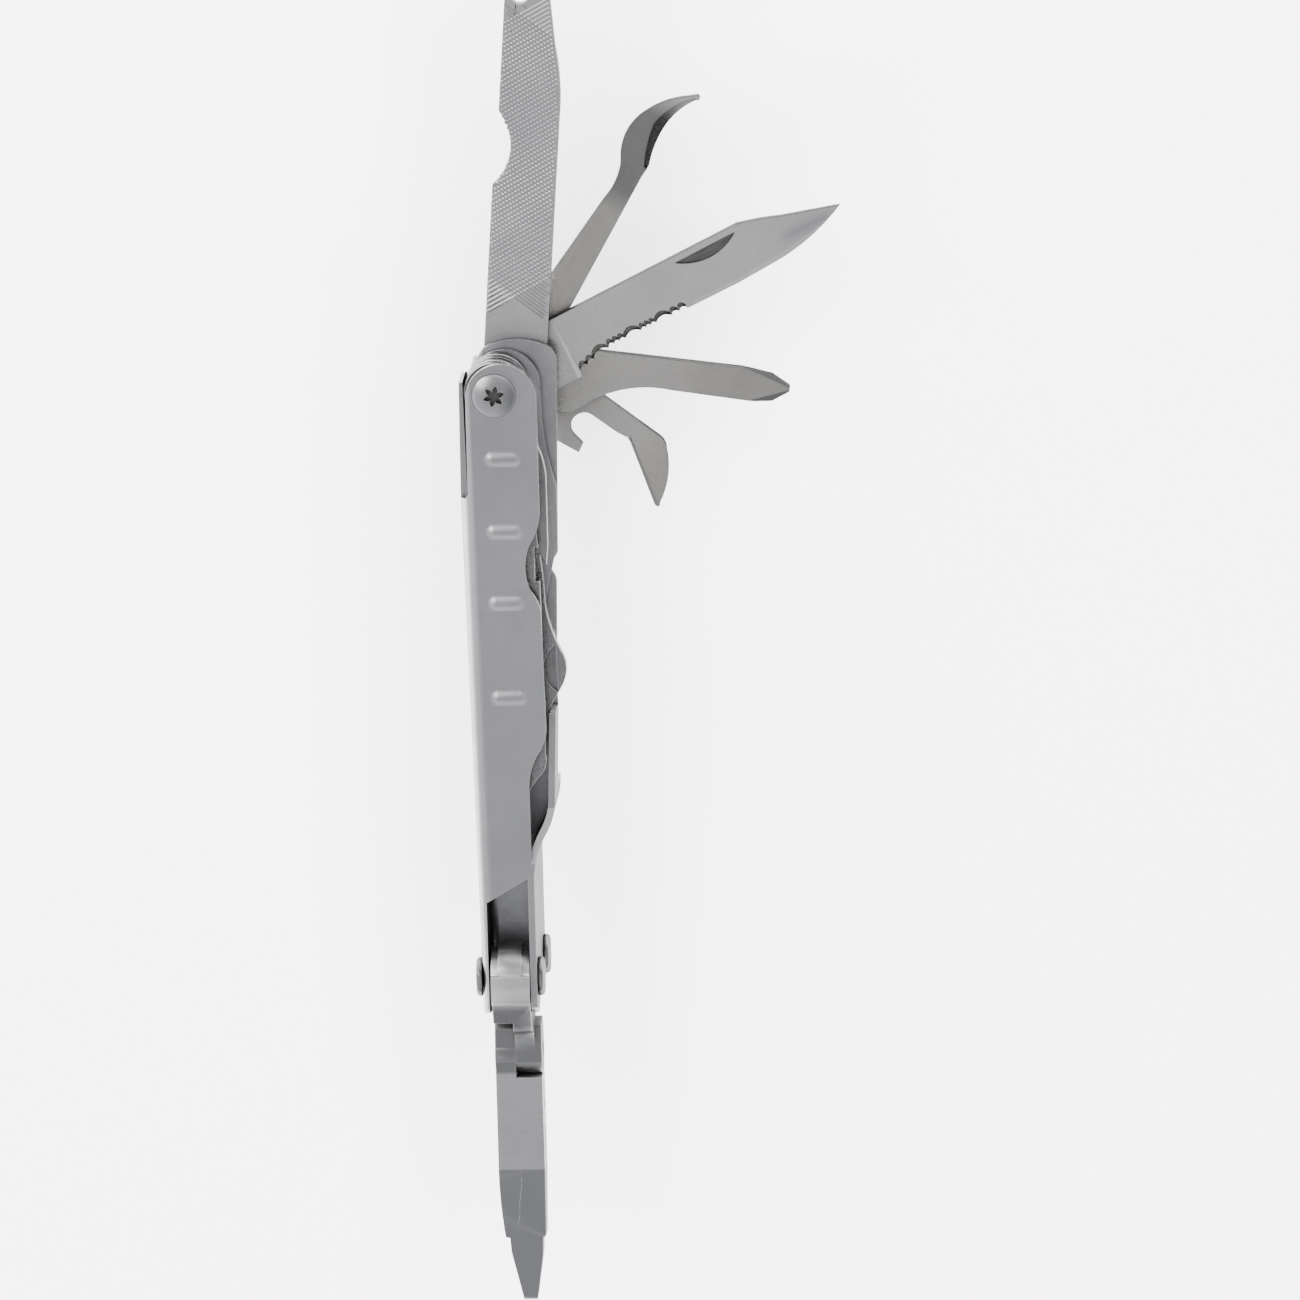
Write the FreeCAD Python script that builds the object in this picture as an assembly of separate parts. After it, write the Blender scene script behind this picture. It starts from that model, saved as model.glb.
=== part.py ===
"""A folding multi tool: pliers with two sheet-steel handles, each holding a stack of fold-out tools.

The tool lies on the flat outer face of its back handle. +Y runs along the handles from the
plier hinges to the tool pivots, +X is the side the tools fold out of, and +Z is up.
The origin is on the back handle's outer face, level with the tool pivots and on the plier
head's centre line. All sizes are in millimetres.
"""
import FreeCAD
import Part
import math
import os

V = FreeCAD.Vector

# --- handles ---------------------------------------------------------------------------
SHEET = 1.0             # thickness of the handle sheet
DEPTH = 11.0            # one handle, over both of its walls
HALF_GAP = 0.15         # from the plane between the handles to either inner wall
MID_Z = DEPTH + HALF_GAP
LINK = 92.3             # from the handle hinge to the tool pivot
HINGE_TO_FACE = 3.8     # from the handle hinge up to the handle's outer face
HINGE_Z = DEPTH + HALF_GAP - HINGE_TO_FACE
BEND_OUTSIDE = 2.2      # outside radius of the two long bends
WEB_AT_HINGE = -4.3     # X of the web's outer face beside the hinge
WEB_SLOPE = -0.018      # how far that face moves out for each mm towards the tool pivot
BACK_LEAN = 0.0141      # the back handle leans this much towards the tools, per mm
END_RADIUS = 5.6        # rounded end of the cheeks around the hinge
CHEEK_X = 4.1           # outer face of the right cheek
RAIL_TOP = 41.4         # where the low rail above the right cheek ends
RAIL_HEIGHT = 7.6       # height of that rail, measured from the middle plane
TONGUE_START = 76.0     # the web is cut free beyond here and acts as the back spring
TONGUE_END = 94.4
TONGUE_THINNED = 0.45   # how much thinner the tongue is at its free end
BUMP_LENGTH = 5.3
BUMP_WIDTH = 2.1
BUMP_HEIGHT = 0.4
BUMP_BLEND = 1.0        # radius that each bump flows into the wall with
BUMPS_AT = (82.2, 70.8, 59.6, 44.7)
BUMP_X = 1.1
SEAT_RADIUS = 3.8
SEAT_HEIGHT = 0.12

# --- pivots ----------------------------------------------------------------------------
FRONT_PIVOT_X = 0.0
BACK_PIVOT_X = 2.3
POST_RADIUS = 2.0
POST_BORE = 1.3
POST_SET_IN = 0.1       # how far each post's end is below the handle's face
SCREW_RADIUS = 1.27
SCREW_HEAD_RADIUS = 3.3
SCREW_HEAD_HEIGHT = 0.95
RIVET_RADIUS = 1.5
RIVET_HEAD_RADIUS = 3.0
RIVET_HEAD_HEIGHT = 0.95
FIXED_FIT = 0.02        # radial room round a pin that doesn't turn
TURNING_FIT = 0.05      # radial room round a pin that something turns on
WASHER_RADIUS = 3.9

# --- plier head ------------------------------------------------------------------------
TANG_HALF_WIDTH = 2.95
KNUCKLE_RADIUS = 5.3
JOINT_DROP = 13.5       # from the handle hinges down to the plier joint
BOSS_RADIUS = 3.5
NECK_RELIEF = 0.12      # how far the neck's flats are set in from the knuckle
RECESS_RADIUS = 4.2     # hollow on the neck that the folded handle's end wall drops into
RECESS_AT = 12.9
RECESS_LEVEL = 3.42
JOINT_PIN_RADIUS = 1.6
LAP_GAP = 0.03          # half the play between the two lapped halves
LAP_ROOM = 0.3          # room round the other jaw's neck
NECK_END = 7.2          # where a tang's full width ends
LAP_START = 8.7         # where the flat half of each lap starts
JAW_START = 17.08       # where a jaw's full width starts
JAW_LEFT = -3.15
JAW_RIGHT = 3.9
JAW_THICK = 3.3
SHOULDER = 31.7         # where the jaws start to taper
STEP = 42.6             # where the jaws step down to the narrow tips
TIP = 52.9
TOOTH_PITCH = 0.95
TOOTH_DEPTH = 0.32

# --- tools -----------------------------------------------------------------------------
FRONT_TOOL_THICK = 1.6
BACK_TOOL_THICKS = (1.6, 1.6, 1.4, 1.8, 1.4)   # file, knife, hook, phillips, opener
INNER_DEPTH = DEPTH - 2 * SHEET
FRONT_WASHER_PLAY = 0.04
TANG_RADIUS = 4.8
FRONT_REST = -90.0      # folded away
FILE_REST = 85.6
KNIFE_REST = 27.0
HOOK_REST = 60.0
PHILLIPS_REST = -8.0
OPENER_REST = -40.0


# --- drawing helpers -------------------------------------------------------------------
def outline(start, *moves):
    """A flat face from its corners. A move is a point, or two points that an arc goes through."""
    edges = []
    here = V(start[0], start[1], 0)
    first = here
    for move in moves:
        if isinstance(move[0], tuple):
            through = V(move[0][0], move[0][1], 0)
            there = V(move[1][0], move[1][1], 0)
            edges.append(Part.Arc(here, through, there).toShape())
        else:
            there = V(move[0], move[1], 0)
            edges.append(Part.makeLine(here, there))
        here = there
    if here.distanceToPoint(first) > 1e-6:
        edges.append(Part.makeLine(here, first))
    return Part.Face(Part.Wire(edges))


def slab(face, low, high):
    """The face, drawn in X and Y, as a solid between two heights."""
    moved = face.copy()
    moved.translate(V(0, 0, low))
    return moved.extrude(V(0, 0, high - low))


def side_slab(face, left, right):
    """The face, drawn with Y across and Z up, as a solid between two X values."""
    turned = face.copy()
    turned.transformShape(FreeCAD.Matrix(0, 0, 1, left, 1, 0, 0, 0, 0, 1, 0, 0, 0, 0, 0, 1))
    return turned.extrude(V(right - left, 0, 0))


def along_x(radius, left, right, y, z):
    return Part.makeCylinder(radius, right - left, V(left, y, z), V(1, 0, 0))


def along_z(radius, low, high, x, y):
    return Part.makeCylinder(radius, high - low, V(x, y, low))


def box(x_range, y_range, z_range):
    size = [b - a for a, b in (x_range, y_range, z_range)]
    return Part.makeBox(*size, V(x_range[0], y_range[0], z_range[0]))


def joined(shapes):
    whole = shapes[0]
    for shape in shapes[1:]:
        whole = whole.fuse(shape)
    return whole.removeSplitter()


def to_row(shape):
    """From the hinge frame, with the hinges at Y 0 and Z 0 between the handles, to the part's own."""
    shape.translate(V(0, -LINK, MID_Z))
    return shape


def to_back(shape):
    """The same shape on the back side of the plane between the handles."""
    return shape.mirror(V(0, 0, 0), V(0, 0, 1))


# --- handles: drawn for the front handle, in the hinge frame -----------------------------
def web_x(y, lean):
    return WEB_AT_HINGE + (WEB_SLOPE + lean) * y


def channel(lean):
    """The bent sheet before its walls are trimmed: web on the left, open on the right."""
    low, high, right = -9.0, 101.0, 12.0
    shells = []
    for inset in (0.0, SHEET):
        face = outline((web_x(low, lean) + inset, low), (right + inset, low), (right + inset, high),
                       (web_x(high, lean) + inset, high))
        block = slab(face, HALF_GAP + inset, HALF_GAP + DEPTH - inset)
        radius = BEND_OUTSIDE - inset
        long_edges = [e for e in block.Edges
                      if e.BoundBox.YLength > high - low - 1 and e.BoundBox.XMax < 0]
        shells.append(block.makeFillet(radius, long_edges))
    return shells[0].cut(shells[1])


def outer_wall_outline(lean):
    """The outer wall: round top, finger scallop, long step and a slanted end above the hinge."""
    def at(x, y):
        return (x + lean * y, y)

    top = lean * LINK
    return outline(
        (-8, -9), (-3.35, -9), (-3.35, 12.4), (3.4, 16.4), (3.75, 17.4), at(3.75, 29.5),
        (at(4.1, 33.2), at(5.1, 35.6)), (at(6.2, 37.6), at(6.55, 40.6)), at(6.25, 58.3),
        (at(5.7, 60.0), at(4.7, 61.6)), (at(4.05, 65.4), at(4.9, 68.9)), (at(5.9, 70.9), at(6.45, 73.6)),
        (6.45 + top, 91.7), ((1.0 + top, 97.15), (-4.45 + top, 91.7)),
        (-4.45 + top, TONGUE_START + 0.5), (-4.9 + top, TONGUE_START), (-8, TONGUE_START))


def front_inner_outline():
    """The front handle's inner wall: the same round top, flared where thumbs reach the tools."""
    return outline(
        (-8, -1.5), (CHEEK_X, -1.5), (CHEEK_X, 16.4), ((4.9, 20.4), (6.1, 22.9)),
        ((7.0, 24.9), (7.4, 27.2)), (7.9, 41.5), ((7.5, 43.6), (6.3, 45.2)), (6.3, 57.0),
        (7.9, 64.4), (8.5, 66.0), (8.6, 75.5), ((7.4, 80.4), (6.6, 86.6)), (6.5, 91.7),
        ((1.0, 97.2), (-4.5, 91.7)), (-4.45, TONGUE_START + 0.5), (-4.9, TONGUE_START),
        (-8, TONGUE_START))


def back_inner_outline():
    """The back handle's inner wall: wider, with a crowned top, and a V cut at the scallop."""
    return outline(
        (-8, -1.5), (CHEEK_X, -1.5), (CHEEK_X, 16.4), ((4.9, 20.4), (6.1, 22.9)),
        ((7.0, 24.9), (7.4, 27.2)), (8.1, 59.8), ((7.9, 61.3), (6.9, 62.6)), (8.4, 65.0),
        (9.0, 94.7), ((8.6, 96.6), (7.2, 97.6)), ((3.3, 98.5), (-0.8, 97.9)),
        ((-2.6, 96.7), (-3.15, 94.2)), (-3.15, TONGUE_START + 0.5), (-3.6, TONGUE_START),
        (-8, TONGUE_START))


def right_cheek(rail_top):
    """The right wall: a full-height cheek at the hinge, then a low rail up to rail_top."""
    outer_top = 7.4 + (rail_top - 27.2) * 0.035
    face = outline(
        (CHEEK_X - SHEET, -9), (CHEEK_X, -9), (CHEEK_X, 16.4), ((4.9, 20.4), (6.1, 22.9)),
        ((7.0, 24.9), (7.4, 27.2)), (outer_top, rail_top), (outer_top - SHEET, rail_top),
        (6.4, 27.4), ((6.0, 25.3), (5.2, 23.5)), ((3.9, 20.7), (CHEEK_X - SHEET, 16.6)))
    wall = slab(face, HALF_GAP, HALF_GAP + DEPTH)
    above_rail = outline((18.5, HALF_GAP + DEPTH + 1), (18.5, HALF_GAP + DEPTH),
                         (26.5, RAIL_HEIGHT), (rail_top + 1, RAIL_HEIGHT),
                         (rail_top + 1, HALF_GAP + DEPTH + 1))
    return wall.cut(side_slab(above_rail, 0, 12))


def hinge_end_cutter():
    """Everything below the hinge that is outside the rounded end of the cheeks."""
    block = box((-9, 9), (-10, 0), (-1, DEPTH + 2))
    return block.cut(along_x(END_RADIUS, -9, 9, 0, HINGE_Z))


def bump(x, y):
    """One raised grip mark on the outer wall: the top of a sunken capsule, so its sides are soft."""
    radius = (BUMP_WIDTH ** 2 / 4 + BUMP_HEIGHT ** 2) / (2 * BUMP_HEIGHT)
    face = HALF_GAP + DEPTH
    z = face + BUMP_HEIGHT - radius
    straight = (BUMP_LENGTH - BUMP_WIDTH) / 2
    capsule_solid = along_x(radius, x - straight, x + straight, y, z)
    for end in (x - straight, x + straight):
        capsule_solid = capsule_solid.fuse(Part.makeSphere(radius, V(end, y, z)))
    around = box((x - 6, x + 6), (y - 3, y + 3), (face - SHEET / 3, face + 2))
    return capsule_solid.common(around).removeSplitter()


def handle(inner_outline, pivot_x, rail_top, lean):
    """One handle, made of one bent sheet."""
    sheet = channel(lean)
    outer_face = HALF_GAP + DEPTH
    bend_end = outer_face - BEND_OUTSIDE - 0.15
    inner_end = HALF_GAP + SHEET + 0.3
    web = outline((-8, -9), (-3.0, -9), (-3.0, TONGUE_END), (-8, TONGUE_END - 1.2))
    parts = [
        sheet.common(slab(outer_wall_outline(lean), bend_end, outer_face + 1)),
        sheet.common(slab(web, inner_end, bend_end)),
        sheet.common(slab(inner_outline, -1, inner_end)),
        right_cheek(rail_top),
    ]
    parts += [bump(BUMP_X + lean * y, y) for y in BUMPS_AT]
    body = joined(parts)
    feet = [e for e in body.Edges for y in BUMPS_AT
            if e.BoundBox.ZLength < 0.001 and abs(e.BoundBox.ZMin - outer_face) < 0.001
            and abs(e.BoundBox.Center.y - y) < BUMP_WIDTH / 2 + 0.1
            and abs(e.BoundBox.Center.x - BUMP_X - lean * y) < BUMP_LENGTH / 2 + 0.1]
    body = body.makeFillet(BUMP_BLEND, feet)
    seat = along_z(SEAT_RADIUS, outer_face - SHEET / 2, outer_face + SEAT_HEIGHT, pivot_x, LINK)
    thinned = outline((-9, TONGUE_START + 0.4), (web_x(TONGUE_START, lean) - 0.01, TONGUE_START + 0.4),
                      (web_x(TONGUE_END, lean) + TONGUE_THINNED, TONGUE_END + 1), (-9, TONGUE_END + 1))
    body = body.fuse(seat).cut(slab(thinned, inner_end - 0.01, bend_end + 0.01))
    body = body.removeSplitter().cut(hinge_end_cutter())
    body = body.cut(along_z(POST_RADIUS + FIXED_FIT, -1, DEPTH + 3, pivot_x, LINK))
    return body.cut(along_x(RIVET_RADIUS + FIXED_FIT, -9, 9, 0, HINGE_Z))


# --- pivots: drawn for the front handle ---------------------------------------------------
def post(pivot_x):
    """The threaded barrel that the tools turn on."""
    top = HALF_GAP + DEPTH - POST_SET_IN
    barrel = along_z(POST_RADIUS, HALF_GAP, top, pivot_x, LINK)
    return barrel.cut(along_z(POST_BORE, HALF_GAP + 1.5, top + 1, pivot_x, LINK))


def six_lobe(radius, low, high, x, y):
    """The star socket in a screw's head."""
    lobes = 6
    star = along_z(radius * 0.5, low, high, x, y)
    for i in range(lobes):
        a = 2 * math.pi * i / lobes + 0.3
        for out, round_off in ((0.87, 0.13), (0.74, 0.19), (0.58, 0.26)):
            star = star.fuse(along_z(radius * round_off, low, high, x + radius * out * math.cos(a),
                                     y + radius * out * math.sin(a)))
    return star


def screw(pivot_x):
    """A low domed screw with a six-lobe socket, threaded into the post."""
    base = HALF_GAP + DEPTH + SEAT_HEIGHT
    top = base + SCREW_HEAD_HEIGHT
    crown = SCREW_HEAD_HEIGHT - 0.25
    dome_radius = (SCREW_HEAD_RADIUS ** 2 + crown ** 2) / (2 * crown)
    head = along_z(SCREW_HEAD_RADIUS, base, top, pivot_x, LINK)
    head = head.common(Part.makeSphere(dome_radius, V(pivot_x, LINK, top - dome_radius)))
    shank = along_z(SCREW_RADIUS, HALF_GAP + 2.0, base + 0.1, pivot_x, LINK)
    return head.fuse(shank).cut(six_lobe(1.6, top - 0.85, top + 1, pivot_x, LINK)).removeSplitter()


def washer_stack(gaps, pivot_x):
    """One thin washer in each gap, as separate solids."""
    rings = []
    for low, high in gaps:
        play = min(FRONT_WASHER_PLAY, (high - low) * 0.12)
        ring = along_z(WASHER_RADIUS, low + play, high - play, pivot_x, LINK)
        rings.append(ring.cut(along_z(POST_RADIUS + FIXED_FIT, low, high, pivot_x, LINK)))
    return Part.makeCompound(rings)


def rivet():
    """The handle's hinge pin, with a domed head on each side."""
    left = WEB_AT_HINGE - 0.12
    right = CHEEK_X + 0.05
    pin = along_x(RIVET_RADIUS, left - 0.2, right + 0.2, 0, HINGE_Z)
    heads = []
    for x, out in ((left, -1), (right, 1)):
        x0 = min(x, x + out * RIVET_HEAD_HEIGHT)
        disc = along_x(RIVET_HEAD_RADIUS, x0, x0 + RIVET_HEAD_HEIGHT, 0, HINGE_Z)
        outer = x + out * RIVET_HEAD_HEIGHT
        rim = [e for e in disc.Edges
               if abs(e.BoundBox.XMin - outer) < 0.01 and abs(e.BoundBox.XMax - outer) < 0.01]
        heads.append(disc.makeFillet(RIVET_HEAD_HEIGHT * 0.6, rim))
    return joined([pin] + heads)


# --- plier jaws: side is +1 for the jaw whose tang is in the front handle ------------------
def capsule(center_a, radius_a, center_b, radius_b):
    """The face round two circles and the two tangents between them, with Y across and Z up."""
    ay, az = center_a
    by, bz = center_b
    length = math.hypot(by - ay, bz - az)
    heading = math.atan2(bz - az, by - ay)
    lean = math.acos((radius_a - radius_b) / length)

    def rim(y, z, radius, angle):
        return (y + radius * math.cos(angle), z + radius * math.sin(angle))

    up, down = heading + lean, heading - lean
    return outline(
        rim(ay, az, radius_a, down), rim(by, bz, radius_b, down),
        (rim(by, bz, radius_b, heading), rim(by, bz, radius_b, up)),
        rim(ay, az, radius_a, up),
        (rim(ay, az, radius_a, heading + math.pi), rim(ay, az, radius_a, down)))


def neck(side, grow, left, right):
    """The tang and neck between two X values, from the knuckle to the plier joint."""
    flats = capsule((0, side * HINGE_Z), KNUCKLE_RADIUS - NECK_RELIEF + grow,
                    (-JOINT_DROP, 0), BOSS_RADIUS + grow)
    knuckle = along_x(KNUCKLE_RADIUS + grow, left, right, 0, side * HINGE_Z)
    return side_slab(flats, left, right).fuse(knuckle)


def neck_recess(side, left, right):
    """What is cut from the neck's outer side so that the folded handle's end wall clears it."""
    centre = side * (RECESS_LEVEL + RECESS_RADIUS)
    far = side * (RECESS_LEVEL + 9)
    low, high = min(side * RECESS_LEVEL, far), max(side * RECESS_LEVEL, far)
    hollow = along_x(RECESS_RADIUS, left, right, -RECESS_AT, centre)
    return hollow.fuse(box((left, right), (-30, -RECESS_AT), (low, high)))


def jaw_side_view(side, start):
    """A jaw from the side: flat inside, tapered outside."""
    inner = -side * 0.02
    outer = -side * JAW_THICK
    return outline((-start, inner), (-start, outer), (-SHOULDER, outer), (-STEP, -side * 2.3),
                   (-TIP + 0.6, -side * 1.15), ((-TIP + 0.1, -side * 0.85), (-TIP, -side * 0.4)),
                   (-TIP, inner))


def jaw_front_view():
    """Both jaws from the front: parallel, then tapered, with a step down to narrow tips."""
    return outline((JAW_LEFT, 0), (JAW_LEFT, -SHOULDER), ((-2.95, -37.5), (-2.4, -STEP)),
                   (-1.75, -STEP - 0.15), (-1.6, -45.0), (0.15, -TIP), (2.2, -TIP),
                   (3.25, -45.8), (3.4, -STEP), (3.85, -STEP + 0.15), (JAW_RIGHT + 0.1, -SHOULDER),
                   (JAW_RIGHT, 0))


def grip_cutters(side):
    """What is cut from a jaw's inner face: fine teeth, the pipe grip and the wire cutter."""
    cutters = []
    teeth = int((TIP - 1.0 - 33.0) / TOOTH_PITCH)
    for i in range(teeth):
        y = -33.2 - i * TOOTH_PITCH
        groove = outline((y, side * 0.1), (y - TOOTH_PITCH * 0.8, side * 0.1),
                         (y - TOOTH_PITCH * 0.4, -side * TOOTH_DEPTH))
        cutters.append(side_slab(groove, -4, 5))
    pipe_y, pipe_lift, pipe_radius = -28.0, 4.6, 5.7
    cutters.append(along_x(pipe_radius, -4, 5, pipe_y, side * pipe_lift))
    for i in range(-2, 3):
        a = i * 0.2
        cutters.append(along_x(0.3, -4, 5, pipe_y + pipe_radius * math.sin(a),
                               side * (pipe_lift - pipe_radius * math.cos(a))))
    edge = 0.35
    for x, out in ((edge - 0.1, -1), (edge + 0.1, 1)):
        wedge = outline((x, side * 0.1), (x + out * 4.5, side * 0.1), (x + out * 4.5, -side * 1.5))
        wedge.rotate(V(0, 0, 0), V(1, 0, 0), 90)
        wedge.translate(V(0, -18.3, 0))
        cutters.append(wedge.extrude(V(0, -4.4, 0)))
    return cutters


def jaw(side):
    """One jaw with its tang, made in one piece."""
    own_half = (LAP_GAP, JAW_RIGHT) if side > 0 else (JAW_LEFT, -LAP_GAP)
    other_half = (-9, LAP_GAP) if side > 0 else (-LAP_GAP, 9)
    far_x = JAW_RIGHT + 0.1 if side > 0 else JAW_LEFT - 0.05
    outside = sorted((side * TANG_HALF_WIDTH, far_x))
    tang = neck(side, 0, -TANG_HALF_WIDTH, TANG_HALF_WIDTH)
    tang = tang.cut(box(other_half, (-40, -NECK_END), (-20, 20)))
    tang = tang.cut(neck(-side, LAP_ROOM, *other_half))
    lap = neck(side, 0, *outside).common(box(outside, (-30, -LAP_START), (-RECESS_LEVEL, RECESS_LEVEL)))
    lap_face = outline((-LAP_START, 0), (-LAP_START, -side * (JAW_THICK - 0.6)),
                       (-LAP_START - 0.6, -side * JAW_THICK), (-JAW_START, -side * JAW_THICK),
                       (-JAW_START, 0))
    lap_block = side_slab(lap_face, *own_half)
    jaws = slab(jaw_front_view(), -5, 5)
    lap_root = side_slab(jaw_side_view(side, JOINT_DROP), *own_half).common(jaws)
    grip = side_slab(jaw_side_view(side, JAW_START), JAW_LEFT - 1, JAW_RIGHT + 1).common(jaws)
    for cutter in grip_cutters(side):
        grip = grip.cut(cutter)
    body = joined([tang, lap, lap_block, lap_root, grip]).cut(neck_recess(side, -9, 9))
    # rebates on both edges of the knuckle, where the handle's cheeks come past
    for left, right in ((-9, -1.85), (1.75, 9)):
        ring = along_x(KNUCKLE_RADIUS + 1, left, right, 0, side * HINGE_Z)
        ring = ring.cut(along_x(KNUCKLE_RADIUS - 0.8, left, right, 0, side * HINGE_Z))
        ring = ring.common(box((-9, 9), (1.1, 9), (-20, 20)))
        body = body.cut(ring)
    fit = TURNING_FIT if side > 0 else FIXED_FIT
    body = body.cut(along_x(JOINT_PIN_RADIUS + fit, -9, 9, -JOINT_DROP, 0))
    return body.cut(along_x(RIVET_RADIUS + TURNING_FIT, -9, 9, 0, side * HINGE_Z))


def joint_pin():
    """The flush rivet that the jaws turn on."""
    return along_x(JOINT_PIN_RADIUS, JAW_LEFT, JAW_RIGHT, -JOINT_DROP, 0)


# --- tools: drawn flat, with the pivot at 0,0, +X along the tool and +Y over its back -------
def facet(start, end, out, surface, up, tilt):
    """What is ground off beside the line start-end of one face. Out says which side is ground."""
    low, left = min(0, up * 3), min(0, out * 4)
    block = Part.makeBox(12, 4, 3, V(-0.8, left, low))
    block.rotate(V(0, 0, 0), V(1, 0, 0), -out * up * tilt)
    block.rotate(V(0, 0, 0), V(0, 0, 1), math.degrees(math.atan2(end[1] - start[1], end[0] - start[0])))
    block.translate(V(start[0], start[1], surface))
    return block


def tetrahedron(*corners):
    """A solid with four flat faces."""
    a, b, c, d = [V(*corner) for corner in corners]
    sides = ((a, b, c), (a, b, d), (b, c, d), (a, c, d))
    solid = Part.Solid(Part.Shell([Part.Face(Part.makePolygon([p, q, r, p])) for p, q, r in sides]))
    if solid.Volume < 0:
        solid.reverse()
    return solid


def file_shape(thick):
    """A wide file with a side notch and a small round notch in its square end."""
    face = outline((0, 4.8), (29.9, 4.8), ((35.8, 2.3), (41.6, 4.4)), (59.5, 4.4), (59.4, 3.3),
                   ((58.5, 2.1), (59.5, 0.9)), (59.6, -2.6), (52.1, -3.8),
                   ((46.5, -4.8), (41.0, -5.0)), (14.0, -4.9), (0, -4.8), ((-4.8, 0), (0, 4.8)))
    return slab(face, 0, thick)


def ground(blade, thick, start, spine, edge, length, edge_thick):
    """Grind both faces of a blade so that it thins from its spine to its edge."""
    depth = (thick - edge_thick) / 2
    for surface, inward in ((thick, -1), (0, 1)):
        wedge = Part.Face(Part.makePolygon([
            V(start, spine, surface), V(start, edge, surface), V(start, edge, surface + inward * depth),
            V(start, spine, surface)]))
        blade = blade.cut(wedge.extrude(V(length, 0, 0)))
    return blade


def serration(width, tip):
    """One hollow of the serrated edge: a round groove, slanted so that it shows on the front face."""
    slant = math.radians(52)
    deep = 0.3 + 0.14 * width
    rise = deep * math.cos(slant)
    side, lap = width / 2, 0.02
    groove = outline((-side, -rise), ((0, 0), (side, -rise)), (side + lap, -rise - 0.05),
                     (side + lap, -4), (-side - lap, -4), (-side - lap, -rise - 0.05))
    groove.rotate(V(0, 0, 0), V(1, 0, 0), -math.degrees(slant))
    heading = V(0, math.sin(slant), math.cos(slant))
    groove.translate(tip + V(0, deep, 0) - heading * 1.2)
    return groove.extrude(heading * 4.2)


def knife_shape(thick):
    """A clip-point blade, flat ground, with a nail nick and a serrated stretch by the handle."""
    start, turn, end = (9.3, -4.35), (14.8, -3.1), (28.4, -3.3)
    face = outline((0, 4.6), (9.0, 5.0), (41.3, 4.9), ((44.6, 4.0), (48.0, 2.8)), (56.9, 0.1),
                   ((51.0, -2.1), (44.0, -3.2)), (37.0, -3.45), end, turn, start,
                   (8.9, -5.1), (4.0, -5.1), (0, -4.6), ((-4.6, 0), (0, 4.6)))
    blade = ground(slab(face, 0, thick), thick, 9.2, 5.05, -5.2, 50, 0.35)
    # the ramp that the grind leaves beside the tang, wider towards the edge
    depth = (thick - 0.35) / 2
    for surface, inward in ((thick, -1), (0, 1)):
        blade = blade.cut(tetrahedron((9.2, 5.05, surface), (8.3, -5.2, surface), (9.2, -5.2, surface),
                                      (9.2, -5.2, surface + inward * depth)))
    x = start[0]
    for width in (1.35, 1.35, 2.8, 0.95, 0.95, 0.95, 2.8, 0.85, 0.85, 0.85, 2.7, 1.35, 1.35):
        middle = x + width / 2
        a, b = (start, turn) if middle < turn[0] else (turn, end)
        y = a[1] + (b[1] - a[1]) * (middle - a[0]) / (b[0] - a[0])
        blade = blade.cut(serration(width, V(middle, y, thick / 2 - 0.3)))
        x += width
    nick = outline((30.2, 3.9), (40.6, 3.9), ((35.6, 2.2), (30.2, 3.9)))
    return blade.cut(slab(nick, thick - 0.45, thick + 1))


def hook_shape(thick):
    """A shank that sweeps round into a thin hook, ground away along its inside."""
    face = outline((0, 4.4), (10, 3.2), (30.7, 1.1), ((34.4, 0.95), (37.2, 1.75)),
                   ((41.4, 3.1), (45.6, 2.1)), ((48.6, 0.1), (51.0, -2.7)), (51.8, -3.7),
                   ((51.75, -4.15), (51.3, -4.3)), ((48.2, -2.45), (44.6, -1.7)),
                   ((41.4, -1.85), (38.4, -2.55)), (36.5, -2.35), (10, -2.6), (0, -4.4),
                   ((-4.4, 0), (0, 4.4)))
    body = slab(face, 0, thick)
    hollow = outline((38.0, -1.9), ((41.2, -0.7), (44.6, 0.0)), ((48.0, -1.1), (51.2, -3.6)),
                     (50.5, -6.0), (44.0, -6.0), (37.6, -4.0))
    return body.cut(slab(hollow, thick * 0.35, thick + 1))


def phillips_shape(thick):
    """A cranked shank with a cross point whose corners are relieved on both faces."""
    face = outline((0, 4.8), (13.3, 4.5), (34.2, 4.7), (39.2, 4.3), (42.1, 2.65), (42.1, 1.75),
                   (39.6, -0.15), (37.0, -0.4), (24.0, -0.2), ((16.8, -1.0), (12.6, -3.0)),
                   (9.4, -5.6), (7.4, -5.7), (0, -4.8), ((-4.8, 0), (0, 4.8)))
    body = slab(face, 0, thick)
    # two slanted facets on each side leave the ridge of the cross point
    for start, end, out in (((35.0, 4.75), (43.0, 2.1), 1), ((35.6, -0.5), (42.6, 2.3), -1)):
        body = body.cut(facet(start, end, out, thick, 1, 38))
        body = body.cut(facet(start, end, out, 0, -1, 38))
    return body


def opener_shape(thick):
    """A can opener's curved cutter, with a bottle-opener hook beside the handle."""
    face = outline((0, 4.8), (12.4, 4.9), (24.1, 5.4), ((25.2, 5.1), (26.0, 4.4)),
                   ((28.7, 1.4), (30.4, -2.8)), ((30.5, -3.5), (29.9, -3.6)), (20.9, 1.75),
                   ((19.8, 1.95), (18.6, 1.75)), (13.3, 1.4), ((11.8, -0.6), (13.6, -2.75)),
                   (15.4, -2.95), (15.8, -4.45), (11.6, -5.2), (8.0, -5.2), (0, -4.8),
                   ((-4.8, 0), (0, 4.8)))
    body = slab(face, 0, thick)
    return body.cut(facet((20.9, 2.3), (30.4, -3.2), -1, thick, 1, 45))


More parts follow.
